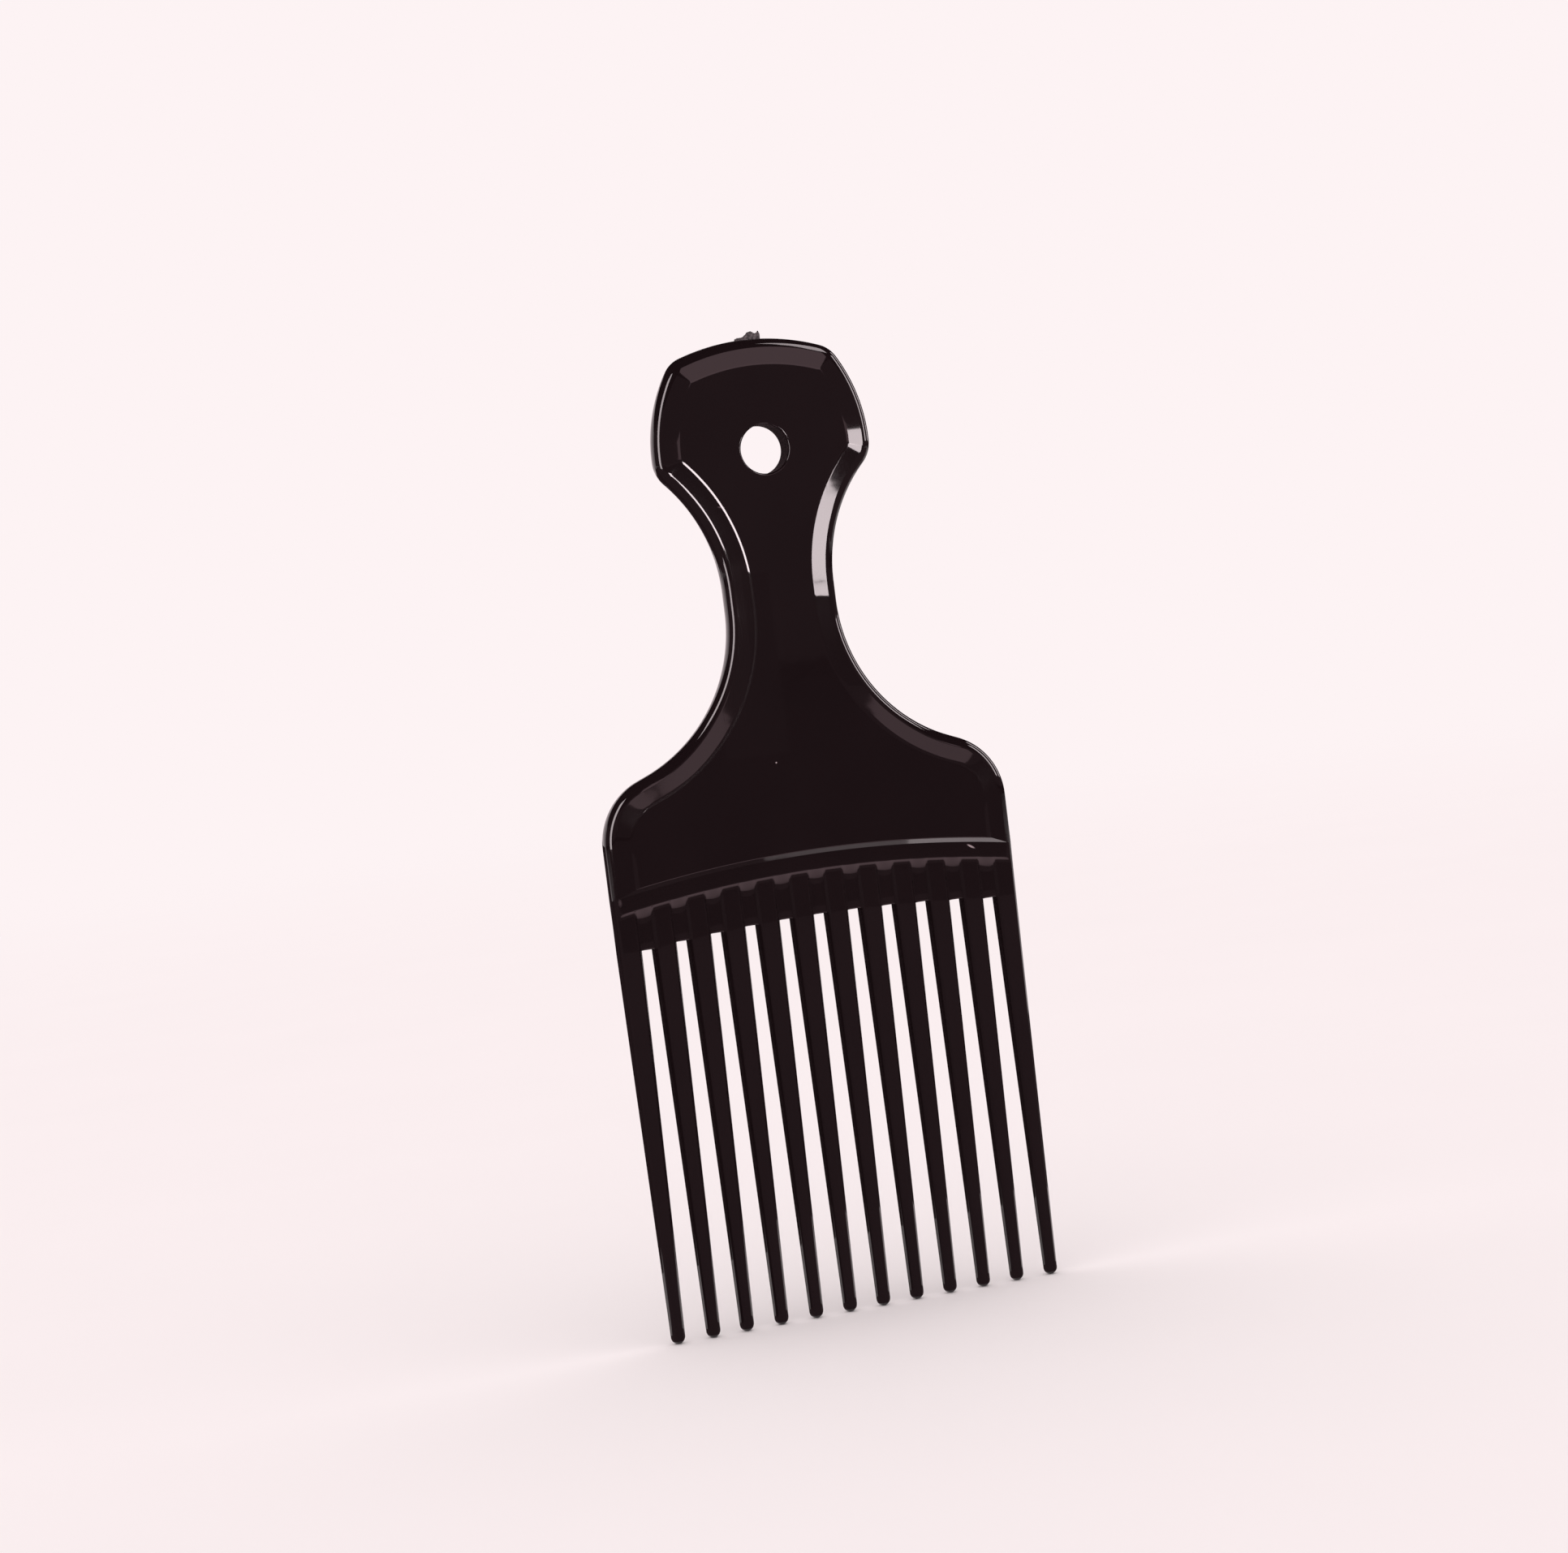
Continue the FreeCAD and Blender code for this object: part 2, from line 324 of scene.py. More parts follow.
# %% Turning lists of points into a piece
sharp_turn = math.radians(32)
weld_mm = 0.002              # points closer than this are the same point


def strip(rings, closed=True):
    """Faces between neighbouring rings of the same length, as tuples of vertices."""
    faces = []
    for low, high in zip(rings, rings[1:]):
        count = len(low)
        for i in range(count if closed else count - 1):
            j = (i + 1) % count
            faces.append((low[i], low[j], high[j], high[i]))
    return faces


def add_ring(mesh, points):
    """Vertices at points given in millimetres."""
    return [mesh.verts.new(Vector(p) * MM) for p in points]


def add_faces(mesh, faces):
    """Faces on given corners. A corner that is named twice counts once."""
    for face in faces:
        corners = list(dict.fromkeys(face))
        if len(corners) > 2:
            mesh.faces.new(corners)


def finish_piece(name, mesh):
    """Closes the seams of a mesh, turns it the right way out, smooths it, and hands back its object."""
    bmesh.ops.remove_doubles(mesh, verts=mesh.verts, dist=weld_mm * MM)
    bmesh.ops.recalc_face_normals(mesh, faces=mesh.faces)
    open_edges = sum(1 for edge in mesh.edges if not edge.is_manifold)
    for face in mesh.faces:
        face.smooth = True
    for edge in mesh.edges:
        edge.smooth = not edge.is_manifold or edge.calc_face_angle() < sharp_turn
    data = bpy.data.meshes.new(name)
    mesh.to_mesh(data)
    mesh.free()
    piece = bpy.data.objects.new(name, data)
    bpy.context.scene.collection.objects.link(piece)
    # large flat faces keep their own direction, so the creases beside them don't bend their shine
    weighted = piece.modifiers.new("flats stay flat", "WEIGHTED_NORMAL")
    weighted.keep_sharp = True
    weighted.weight = 100
    print(name, "faces:", len(data.polygons), "open edges:", open_edges)
    return piece


# %% The handle's mesh
hole_radius = 4.0
hole_edge_radius = 0.35
hole_steps = 96
hole_edge_steps = 6


def hole_ring(radius, y):
    """One circle of the hang hole."""
    turns = [2 * math.pi * step / hole_steps for step in range(hole_steps)]
    return [(radius * math.cos(turn), y, radius * math.sin(turn)) for turn in turns]


def make_handle():
    """Rings from the front face round the edge to the back, the hole's wall, and two filled faces."""
    mesh = bmesh.new()
    rings = []
    for depth, inset, lift in reversed(ring_table):
        rings.append(add_ring(mesh, [(x, -depth, z) for x, z in outline_ring(inset, lift)]))
    for depth, inset, lift in ring_table[1:]:
        rings.append(add_ring(mesh, [(x, depth, z) for x, z in outline_ring(inset, lift)]))
    add_faces(mesh, strip(rings))
    bore = []
    for step in range(hole_edge_steps + 1):
        turn = math.pi / 2 * step / hole_edge_steps
        radius = hole_radius + hole_edge_radius * (1 - math.sin(turn))
        bore.append((radius, half_handle - hole_edge_radius * (1 - math.cos(turn))))
    walls = [add_ring(mesh, hole_ring(radius, -depth)) for radius, depth in bore]
    walls += [add_ring(mesh, hole_ring(radius, depth)) for radius, depth in reversed(bore)]
    add_faces(mesh, strip(walls))
    for rim, wall in ((rings[0], walls[0]), (rings[-1], walls[-1])):
        loops = []
        for ring in (rim, wall):
            loops += [mesh.edges.get((ring[i - 1], ring[i])) for i in range(len(ring))]
        bmesh.ops.triangle_fill(mesh, use_beauty=True, edges=loops)
    return finish_piece("moulded_handle", mesh)


handle = make_handle()

# %% [markdown]
# ## Tooth bar
# Under the step the pick is thinner. Every gap between two teeth carries on up the bar as a groove, and
# where the groove ends, a sloping scoop climbs to a plain band. The row of scoops is the scalloped line
# in the photograph. Booleans could cut the grooves, but they leave hard corners. Seen from the front the
# bar has one height at every point, so it is a height field: a grid whose depth is worked out from a few
# slopes that blend into each other.

# %% Sizes of the tooth bar
tooth_count = 12
tooth_root_width = 4.25
tooth_pitch = (2 * half_width - tooth_root_width) / (tooth_count - 1)
half_gap = (tooth_pitch - tooth_root_width) / 2
root_z = -76.2
root_radius = 270.0
wall_inset = 1.0
knee_inset = 0.35
knee_depth = 1.0
crest_depth = 1.56           # the teeth start a little below the plain band
crest_inset = knee_inset + (
    (crest_depth - knee_depth) * (wall_inset - knee_inset) / (half_plate - knee_depth)
)


def gap_x(index):
    """Middle of a gap."""
    return (index - (tooth_count - 2) / 2) * tooth_pitch


def gap_end(index):
    """Upper end of a gap, on a flat arc."""
    return root_z - root_radius + math.sqrt(root_radius ** 2 - gap_x(index) ** 2)


print("tooth pitch %.3f mm, gap %.2f mm" % (tooth_pitch, 2 * half_gap))

# %% Lines across the grooves and down the outer flanks
crest_radius = 0.3
groove_corner_radius = 0.25  # between the floor of a groove and its sides
seam_corner = (0.09, 0.12)   # a small slope at the parting line of a tooth
seam_radius = 0.08
knee_radius = 0.9
flank_reach = 2.4
flank_steps = 5

ridge_points = rounded(
    [(0, knee_depth), (half_gap + knee_inset, knee_depth), (half_gap + crest_inset, crest_depth),
     (tooth_pitch / 2, crest_depth)],
    [groove_corner_radius, crest_radius],
)
flank_points = rounded(
    [(0, 0), seam_corner, (knee_inset, knee_depth), (crest_inset, crest_depth), (flank_reach, crest_depth)],
    [seam_radius, knee_radius, crest_radius],
    steps=flank_steps,
)
print("points across half a groove:", len(ridge_points), "and down a flank:", len(flank_points))


# %% Lower edge of the bar
def nearest_gap(x):
    """Number of the gap that lies closest."""
    index = round(x / tooth_pitch + (tooth_count - 2) / 2)
    return min(max(index, 0), tooth_count - 2)


def bar_foot(x):
    """Lower edge of the bar: level over each gap, straight from gap to gap over the teeth."""
    index = nearest_gap(x)
    offset = x - gap_x(index)
    floor = half_gap + knee_inset
    other = index + (1 if offset > 0 else -1)
    if abs(offset) <= floor or not 0 <= other < tooth_count - 1:
        return gap_end(index)
    share = (abs(offset) - floor) / (tooth_pitch - 2 * floor)
    return gap_end(index) + (gap_end(other) - gap_end(index)) * share


print("lower edge from %.2f mm at the side to %.2f mm in the middle" % (bar_foot(half_width), bar_foot(0)))

# %% Heights over the tooth bar
groove_to_step = 2.5         # top of the scoops below the arched step
scoop_run = 2.5              # length over which a scoop eases from the band down to the groove's floor
scoop_rounding = 0.4         # share of that length that a scoop loses at the sides of its groove
scoop_power = 1.35           # 1 is an even slope, and more is steeper at the top
scoop_blend = 0.3
gap_edge_radius = 0.25
gap_edge_fade = 0.3
bar_end_blend = 0.16
least_blend = 0.001


def blended_max(a, b, blend):
    """The larger of two heights, with the corner between them rounded."""
    close = max(blend - abs(a - b), 0) / blend
    return max(a, b) + close ** 2 * blend / 4


def blended_min(a, b, blend):
    """The smaller of two heights, rounded in the same way."""
    return -blended_max(-a, -b, blend)


def clamped(share):
    """A share held between 0 and 1."""
    return min(max(share, 0), 1)


def bar_depth(x, z):
    """Half thickness of the bar."""
    offset = abs(x - gap_x(nearest_gap(x)))
    ridge = height_at(ridge_points, min(offset, tooth_pitch / 2))
    below = step_height(x) - groove_to_step - z
    aside = min(offset / (half_gap + crest_inset), 1)
    run = scoop_run * (1 - scoop_rounding * aside ** 2)
    left_over = 1 - clamped(below / run)
    scoop = knee_depth + (half_plate - knee_depth) * left_over ** scoop_power
    depth = min(blended_max(ridge, scoop, scoop_blend), half_plate)
    # the edge where the groove's floor drops into the gap is rounded
    above_gap = z - bar_foot(x)
    if above_gap < gap_edge_radius:
        drop = gap_edge_radius - math.sqrt(gap_edge_radius ** 2 - (gap_edge_radius - above_gap) ** 2)
        share = clamped((half_gap + knee_inset - offset) / gap_edge_fade)
        depth -= drop * share * share * (3 - 2 * share)
    # the bar's ends turn from the handle's rim, at the top, into the flanks of the outer teeth
    share = clamped(above_gap / (step_height(x) - bar_foot(x)))
    inset = half_width - abs(x)
    wall = height_at(rim_points, inset) * share + height_at(flank_points, inset) * (1 - share)
    return blended_min(depth, wall, bar_end_blend * share + least_blend)


print("half thickness in a groove: %.2f mm" % bar_depth(gap_x(5), bar_foot(gap_x(5)) + 1))

# %% Columns and rows of the tooth bar
closest_columns = 0.012
widest_column = 0.4
end_zone = 1.6               # at the bar's ends the columns follow the rim and the flank
gap_edge_rises = (0, 0.02, 0.06, 0.13, gap_edge_radius)
below_scoop = 0.1
above_scoop = 0.2
scoop_rows = 26              # close together, because the scoops show every facet
plain_rows = 4


def spaced(values, widest):
    """Sorted values without doubles, with more put in where two stand far apart."""
    out = []
    for value in sorted(values):
        if out and value - out[-1] < closest_columns:
            continue
        if out:
            parts = math.ceil((value - out[-1]) / widest)
            start = out[-1]
            out += [start + (value - start) * part / parts for part in range(1, parts)]
        out.append(value)
    return out


def bar_columns():
    """Places across the bar, close together where its height bends."""
    columns = []
    for index in range(tooth_count - 1):
        columns += [gap_x(index) + side * p.x for p in ridge_points for side in (-1, 1)]
    columns = [x for x in columns if abs(x) < half_width - end_zone]
    edge = [half_width - p.x for p in rim_points + flank_points if p.x < end_zone]
    columns += edge + [-x for x in edge]
    return spaced(columns, widest_column)


def parted(start, end, parts):
    """Evenly spaced values after the start, up to the end."""
    return [start + (end - start) * part / parts for part in range(1, parts + 1)]


def bar_rows(x):
    """Heights of the rows at one place across the bar."""
    top = step_height(x)
    scoop_top = top - groove_to_step + above_scoop
    scoop_low = top - groove_to_step - scoop_run - below_scoop
    rows = [bar_foot(x) + rise for rise in gap_edge_rises]
    rows += parted(rows[-1], scoop_low, plain_rows)
    rows += parted(scoop_low, scoop_top, scoop_rows)
    rows += parted(scoop_top, top, plain_rows)
    return rows


print("columns:", len(bar_columns()), "rows:", len(bar_rows(0)))


# %% The tooth bar's mesh
def make_tooth_bar():
    """Two height fields back to back, closed along their lower and upper edges."""
    mesh = bmesh.new()
    columns = bar_columns()
    faces = {}
    for side in (-1, 1):
        faces[side] = []
        for x in columns:
            faces[side].append(add_ring(mesh, [(x, side * bar_depth(x, z), z) for z in bar_rows(x)]))
        add_faces(mesh, strip(faces[side], closed=False))
    for end in (0, -1):
        front = [column[end] for column in faces[-1]]
        back = [column[end] for column in faces[1]]
        add_faces(mesh, strip([front, back], closed=False))
    return finish_piece("moulded_tooth_bar", mesh)


tooth_bar = make_tooth_bar()

# %% [markdown]
# ## Teeth
# Each tooth is a long taper with a flat crest, leaning flanks and a rounded end, so that it slides
# through hair. A tooth could be a scaled box, but its section is the key to how it shines, so the section
# is drawn with rounded corners, shrunk from root to tip, and closed by a dome. No moulded comb is dead
# straight, because it leaves the mould warm: every tip stands a fraction of a millimetre off its place.

# %% Section of a tooth from root to tip
tip_half_width = 1.2
tip_knee = (0.2, 0.6)
tip_crest = (0.6, 1.1)
tip_fineness = 0.4           # share that the small roundings lose on the way to the tip


def mixed(a, b, share):
    """Numbers part of the way from those in a to those in b."""
    return [u + (v - u) * share for u, v in zip(a, b)]


def tooth_section(share, scale):
    """Points round a tooth, front first, at a share of the way from the root to the tip."""
    half = mixed([tooth_root_width / 2], [tip_half_width], share)[0]
    knee = mixed([knee_inset, knee_depth], tip_knee, share)
    crest = mixed([crest_inset, crest_depth], tip_crest, share)
    fine = 1 - tip_fineness * share
    seam = (seam_corner[0] * fine, seam_corner[1] * fine)
    corners = [(0, 0), seam, knee, crest, (half, crest[1])]
    quarter = rounded(corners, [seam_radius, knee_radius * fine, crest_radius * fine], steps=flank_steps)
    right = [(half - p.x, -p.y) for p in quarter]
    front = right + [(-x, y) for x, y in reversed(right[:-1])]
    back = [(x, -y) for x, y in reversed(front[1:-1])]
    return [(x * scale, y * scale) for x, y in front + back]


print("points round a tooth:", len(tooth_section(0, 1)))

# %% Twelve teeth
dome_height = 1.2
dome_steps = 9
shaft_steps = 14
stray_across = 0.12
stray_through = 0.10
straying = random.Random(12)


def make_tooth(number):
    """Rings down the shaft, which bows a little towards its tip, and smaller rings round the dome."""
    mesh = bmesh.new()
    middle = (number - (tooth_count - 1) / 2) * tooth_pitch
    stray_x = straying.uniform(-stray_across, stray_across)
    stray_y = straying.uniform(-stray_through, stray_through)
    dome_z = tip_z + dome_height
    rings = []
    for step in range(shaft_steps + 1):
        share = step / shaft_steps
        bow = share * share
        points = []
        for x, y in tooth_section(share, 1):
            foot = bar_foot(min(max(middle + x, -half_width), half_width))
            points.append((middle + x + stray_x * bow, y + stray_y * bow, foot + (dome_z - foot) * share))
        rings.append(add_ring(mesh, points))
    for step in range(1, dome_steps):
        turn = math.pi / 2 * step / dome_steps
        section = tooth_section(1, math.cos(turn))
        height = dome_z - dome_height * math.sin(turn)
        rings.append(add_ring(mesh, [(middle + x + stray_x, y + stray_y, height) for x, y in section]))
    add_faces(mesh, strip(rings))
    mesh.faces.new(rings[0])
    tip = mesh.verts.new(Vector((middle + stray_x, stray_y, tip_z)) * MM)
    last = rings[-1]
    add_faces(mesh, [(last[i - 1], last[i], tip) for i in range(len(last))])
    return finish_piece("moulded_tooth_%02d" % (number + 1), mesh)


teeth = [make_tooth(number) for number in range(tooth_count)]

# %% [markdown]
# ## Gate stub
# Plastic entered the mould through a small gate on the crown. The pick was twisted off its runner there,
# which left a ragged nib. A neat block would look machined, so the nib's top follows a torn line with
# peaks and a notch, and its sides are roughened point by point.

# %% The torn nib on the crown
# heights of the tear above the crown, from left to right
tear_line = [
    (-2.15, 0.22), (-1.7, 0.4), (-1.1, 0.38), (-0.65, 0.5), (-0.2, 0.95), (0.25, 1.24), (0.55, 1.3),
    (0.9, 1.15), (1.3, 0.88), (1.65, 1.0), (1.95, 1.3), (2.1, 0.8),
]
# section of the nib from front to back, as shares of its half thickness and of its height
nib_section = [
    (-1, 0), (-1, 0.45), (-0.92, 0.75), (-0.6, 0.95), (0, 1), (0.6, 0.9), (0.92, 0.7), (1, 0.4), (1, 0),
]
nib_half_thickness = 0.62
nib_end_share = 0.55         # thickness left at the ends of the nib
nib_sink = 0.7               # how far the nib's foot goes into the crown
nib_columns = 44
nib_margin = 1.5             # columns by which the bulge runs on past each end
tear_low = -0.10
tear_high = 0.04
roughness_mm = 0.05
rough_from = 0.3             # below this share of the height the nib is smooth
rough_upward = 0.4


def make_gate_stub():
    """Upright sections along the tear, each one roughened at random."""
    tearing = random.Random(5)
    mesh = bmesh.new()
    line = [Vector(point) for point in tear_line]
    crown_radius = bends[-1][1]
    rings = []
    for column in range(nib_columns + 1):
        x = line[0].x + (line[-1].x - line[0].x) * column / nib_columns
        crown = crown_z - x * x / (2 * crown_radius)
        top = crown_z + height_at(line, x) + tearing.uniform(tear_low, tear_high)
        bulge = math.sin(math.pi * (column + nib_margin) / (nib_columns + 2 * nib_margin))
        thick = nib_half_thickness * (nib_end_share + (1 - nib_end_share) * bulge)
        low = crown - nib_sink
        ring = []
        for y, rise in nib_section:
            rough = tearing.uniform(-roughness_mm, roughness_mm) if rise > rough_from else 0
            ring.append((x + rough, y * thick + rough, low + (top - low) * rise + rough * rough_upward))
        rings.append(add_ring(mesh, ring))
    add_faces(mesh, strip(rings))
    mesh.faces.new(rings[0])
    mesh.faces.new(rings[-1])
    return finish_piece("torn_gate_stub", mesh)


gate_stub = make_gate_stub()

# %% [markdown]
# ## Colour and nodes
# Colours are picked as they look on a screen and turned to the linear values that the renderer counts in.
# One small helper adds every node.

# %% Helpers for materials
def linear(hex_colour):
    """sRGB hex to linear red, green, blue and alpha."""
    channels = [int(hex_colour[i:i + 2], 16) / 255 for i in (1, 3, 5)]
    return [c / 12.92 if c <= 0.04045 else ((c + 0.055) / 1.055) ** 2.4 for c in channels] + [1.0]


def add_node(tree, kind, inputs=None, **settings):
    """Adds a node, sets its properties, and gives each named input a value or a link."""
    node = tree.nodes.new(kind)
    for name, value in settings.items():
        setattr(node, name, value)
    for name, value in (inputs or {}).items():
        if isinstance(value, bpy.types.NodeSocket):
            tree.links.new(value, node.inputs[name])
        else:
            node.inputs[name].default_value = value
    return node


def per_mm(size):
    """Scale of a texture whose features are this many millimetres wide."""
    return 1 / (size * MM)


print("plastic black in linear light:", [round(c, 4) for c in linear("#170f11")[:3]])

# %% [markdown]
# ## Injection-moulded polystyrene, polished mould
# Cheap combs are moulded from high-impact polystyrene or ABS in a polished steel mould. The eye sees a
# black with a warm brown-purple cast, a clear mirror-like shine broken by a faint orange peel, finger
# smudges that dull the shine in patches, and hairline scratches from handling. A picture of scratches
# could be wrapped round the pick, but it would show a seam at the edge. Noise that is worked out in
# millimetres runs through the whole piece, and each of these marks has its own size.

# %% Sizes of the patterns in the moulded plastic
plastic_ior = 1.55           # between ABS with 1.54 and polystyrene with 1.59
flow_mark_mm = 16.0
smudge_mm = 14.0
clean_roughness = 0.042
smudged_roughness = 0.062
orange_peel_mm = 2.4
orange_peel_height = 0.004 * MM
hairline_mm = 0.14           # real hairlines are about 0.02 mm wide and would not show
hairline_length_mm = 9.0
hairline_depth_mm = 8 * hairline_mm
hairline_slant = math.radians(24)
hairline_start = 0.76        # only noise above this counts as a hairline
hairline_full = 0.84
hairline_roughness = 0.05
mark_depth_mm = 0.5
# small marks on the front: place, half length and half width in millimetres, turn in degrees, colour
marks = [
    ((-4.66, -2.4, -50.68), 0.16, 0.16, 0, "#b9a9ac"),      # a speck of dust caught in the surface
    ((26.96, -1.8, -68.83), 0.85, 0.2, 32, "#a8999c"),      # a pale slanted mark under the step
    ((-8.5, -2.2, -8.6), 0.7, 0.2, 10, "#5a4c50"),          # a paler mark on the rim
    ((-33.2, -1.5, -69.6), 0.4, 0.9, 0, "#43383b"),         # a paler mark at the end of the bar
]
print("marks:", len(marks))


# %% Colour of the moulded plastic
def marked_colour(tree, place):
    """Black with faint flow marks, and the small marks laid over it."""
    flow = add_node(tree, "ShaderNodeTexNoise", {
        "Vector": place, "Scale": per_mm(flow_mark_mm), "Detail": 2.0})
    skin = add_node(tree, "ShaderNodeMix", {
        "Factor": flow.outputs["Fac"], "A": linear("#170f11"), "B": linear("#1c1315")}, data_type="RGBA")
    for centre, long_mm, wide_mm, turn, colour in marks:
        spot = add_node(tree, "ShaderNodeMapping", {
            "Vector": place, "Location": Vector(centre) * MM, "Rotation": (0, math.radians(turn), 0),
            "Scale": Vector((long_mm, mark_depth_mm, wide_mm)) * MM}, vector_type="TEXTURE")
        reach = add_node(tree, "ShaderNodeVectorMath", {0: spot.outputs["Vector"]}, operation="LENGTH")
        # a mark is full in its middle and fades out over its outer half
        share = add_node(tree, "ShaderNodeMapRange", {
            "Value": reach.outputs["Value"], "From Min": 1.0, "From Max": 0.5})
        skin = add_node(tree, "ShaderNodeMix", {
            "Factor": share.outputs["Result"], "A": skin.outputs["Result"], "B": linear(colour)},
            data_type="RGBA")
    return skin.outputs["Result"]


# %% Dullness of the moulded plastic
def worn_roughness(tree, place):
    """Polish that is dulled by finger smudges and by hairlines."""
    smudge = add_node(tree, "ShaderNodeTexNoise", {
        "Vector": place, "Scale": per_mm(smudge_mm), "Detail": 3.0, "Roughness": 0.55})
    dull = add_node(tree, "ShaderNodeMapRange", {
        "Value": smudge.outputs["Fac"], "From Min": 0.4, "From Max": 0.8,
        "To Min": clean_roughness, "To Max": smudged_roughness})
    # hairlines: noise drawn out along a slanting direction, with only its peaks kept
    slant = add_node(tree, "ShaderNodeMapping", {
        "Vector": place, "Rotation": (0, hairline_slant, 0),
        "Scale": (per_mm(hairline_mm), per_mm(hairline_depth_mm), per_mm(hairline_length_mm))})
    streak = add_node(tree, "ShaderNodeTexNoise", {
        "Vector": slant.outputs["Vector"], "Scale": 1.0, "Detail": 0.0})
    scratch = add_node(tree, "ShaderNodeMapRange", {
        "Value": streak.outputs["Fac"], "From Min": hairline_start, "From Max": hairline_full,
        "To Min": 0.0, "To Max": hairline_roughness})
    worn = add_node(tree, "ShaderNodeMath", {
        0: dull.outputs["Result"], 1: scratch.outputs["Result"]}, operation="ADD")
    return worn.outputs["Value"]


# %% Moulded plastic
def new_material(name):
    """An empty node material, its tree, and the object coordinates in that tree."""
    material = bpy.data.materials.new(name)
    material.use_nodes = True
    tree = material.node_tree
    tree.nodes.clear()
    place = add_node(tree, "ShaderNodeTexCoord").outputs["Object"]
    return material, tree, place


def moulded_plastic():
    """Polished black plastic with a faint orange peel."""
    material, tree, place = new_material("gloss_black_moulded_polystyrene")
    peel = add_node(tree, "ShaderNodeTexNoise", {
        "Vector": place, "Scale": per_mm(orange_peel_mm), "Detail": 1.0})
    waves = add_node(tree, "ShaderNodeBump", {
        "Height": peel.outputs["Fac"], "Distance": orange_peel_height, "Strength": 1.0})
    shine = add_node(tree, "ShaderNodeBsdfPrincipled", {
        "Base Color": marked_colour(tree, place), "Roughness": worn_roughness(tree, place),
        "IOR": plastic_ior, "Normal": waves.outputs["Normal"]})
    add_node(tree, "ShaderNodeOutputMaterial", {"Surface": shine.outputs["BSDF"]})
    print(material.name, "nodes:", len(tree.nodes))
    return material


plastic = moulded_plastic()

# %% [markdown]
# ## Torn polystyrene
# Where the gate was twisted off, the same plastic is drawn out and stress-whitened: dull, fibrous, and
# paler at the edges of the tear. One flat grey would do from a distance. Close up the fibres show, so one
# fine noise gives the colour, the dullness and the bump together, as the same fibres do on the real tear.

# %% Torn plastic
fibre_mm = 0.35
fibre_height = 0.08 * MM


def torn_plastic():
    """The same plastic, drawn out into dull fibres."""
    material, tree, place = new_material("stress_whitened_torn_polystyrene")
    fibre = add_node(tree, "ShaderNodeTexNoise", {
        "Vector": place, "Scale": per_mm(fibre_mm), "Detail": 3.0})
    whitened = add_node(tree, "ShaderNodeMapRange", {
        "Value": fibre.outputs["Fac"], "From Min": 0.4, "From Max": 0.7})
    tint = add_node(tree, "ShaderNodeMix", {
        "Factor": whitened.outputs["Result"], "A": linear("#2a2123"), "B": linear("#6f6165")},
        data_type="RGBA")
    dull = add_node(tree, "ShaderNodeMapRange", {
        "Value": fibre.outputs["Fac"], "To Min": 0.4, "To Max": 0.75})
    ridges = add_node(tree, "ShaderNodeBump", {
        "Height": fibre.outputs["Fac"], "Distance": fibre_height, "Strength": 0.8})
    shine = add_node(tree, "ShaderNodeBsdfPrincipled", {
        "Base Color": tint.outputs["Result"], "Roughness": dull.outputs["Result"],
        "IOR": plastic_ior, "Normal": ridges.outputs["Normal"]})
    add_node(tree, "ShaderNodeOutputMaterial", {"Surface": shine.outputs["BSDF"]})
    print(material.name, "nodes:", len(tree.nodes))
    return material


torn = torn_plastic()

# %% [markdown]
# ## Dressing the frame
# Each mesh rides on the pick's one rigid body, stands in for its CAD node, and gets its material.

# %% Every piece to its node
dressed = [
    (handle, "handle", "moulded_plastic", plastic),
    (tooth_bar, "tooth_bar", "moulded_plastic", plastic),
    (gate_stub, "gate_stub", "trimmed_plastic", torn),
]
for number, tooth in enumerate(teeth):
    dressed.append((tooth, "tooth_%02d" % (number + 1), "moulded_plastic", plastic))
for piece, node, slot, material in dressed:
    piece.data.materials.append(material)
    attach(piece, "root")
    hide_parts(node)
print("pieces dressed:", len(dressed))

# %% [markdown]
# ## Floor and backdrop
# The pick stands on pale paper in a pale room. The paper fades out with distance so that no horizon cuts
# the picture, and the world behind it has the same tone. A sheet that curves up behind, as in a studio,
# could hide the horizon too, but it would stand in the way of every view from behind.

# %% Matt paper
floor_reach = 1.6            # in metres, from the middle to an edge
mottle_mm = 60


def matt_paper():
    """White paper with a faint mottle, which thins out to nothing at the edge of the floor."""
    material, tree, place = new_material("pale_matt_paper")
    mottle = add_node(tree, "ShaderNodeTexNoise", {
        "Vector": place, "Scale": per_mm(mottle_mm), "Detail": 2.0})
    tint = add_node(tree, "ShaderNodeMix", {
        "Factor": mottle.outputs["Fac"], "A": linear("#fcfafa"), "B": linear("#fefcfc")}, data_type="RGBA")
    paper = add_node(tree, "ShaderNodeBsdfDiffuse", {"Color": tint.outputs["Result"]})
    spread = add_node(tree, "ShaderNodeMapping", {"Vector": place, "Scale": [1 / floor_reach] * 3})
    fall = add_node(tree, "ShaderNodeTexGradient", {
        "Vector": spread.outputs["Vector"]}, gradient_type="SPHERICAL")
    solid = add_node(tree, "ShaderNodeMapRange", {
        "Value": fall.outputs["Fac"], "From Min": 0.02, "From Max": 0.7}, interpolation_type="SMOOTHSTEP")
    clear = add_node(tree, "ShaderNodeBsdfTransparent")
    mix = add_node(tree, "ShaderNodeMixShader", {
        "Fac": solid.outputs["Result"], 1: clear.outputs["BSDF"], 2: paper.outputs["BSDF"]})
    add_node(tree, "ShaderNodeOutputMaterial", {"Surface": mix.outputs["Shader"]})
    print(material.name, "nodes:", len(tree.nodes))
    return material


# %% Pale paper floor
floor_squares = 24


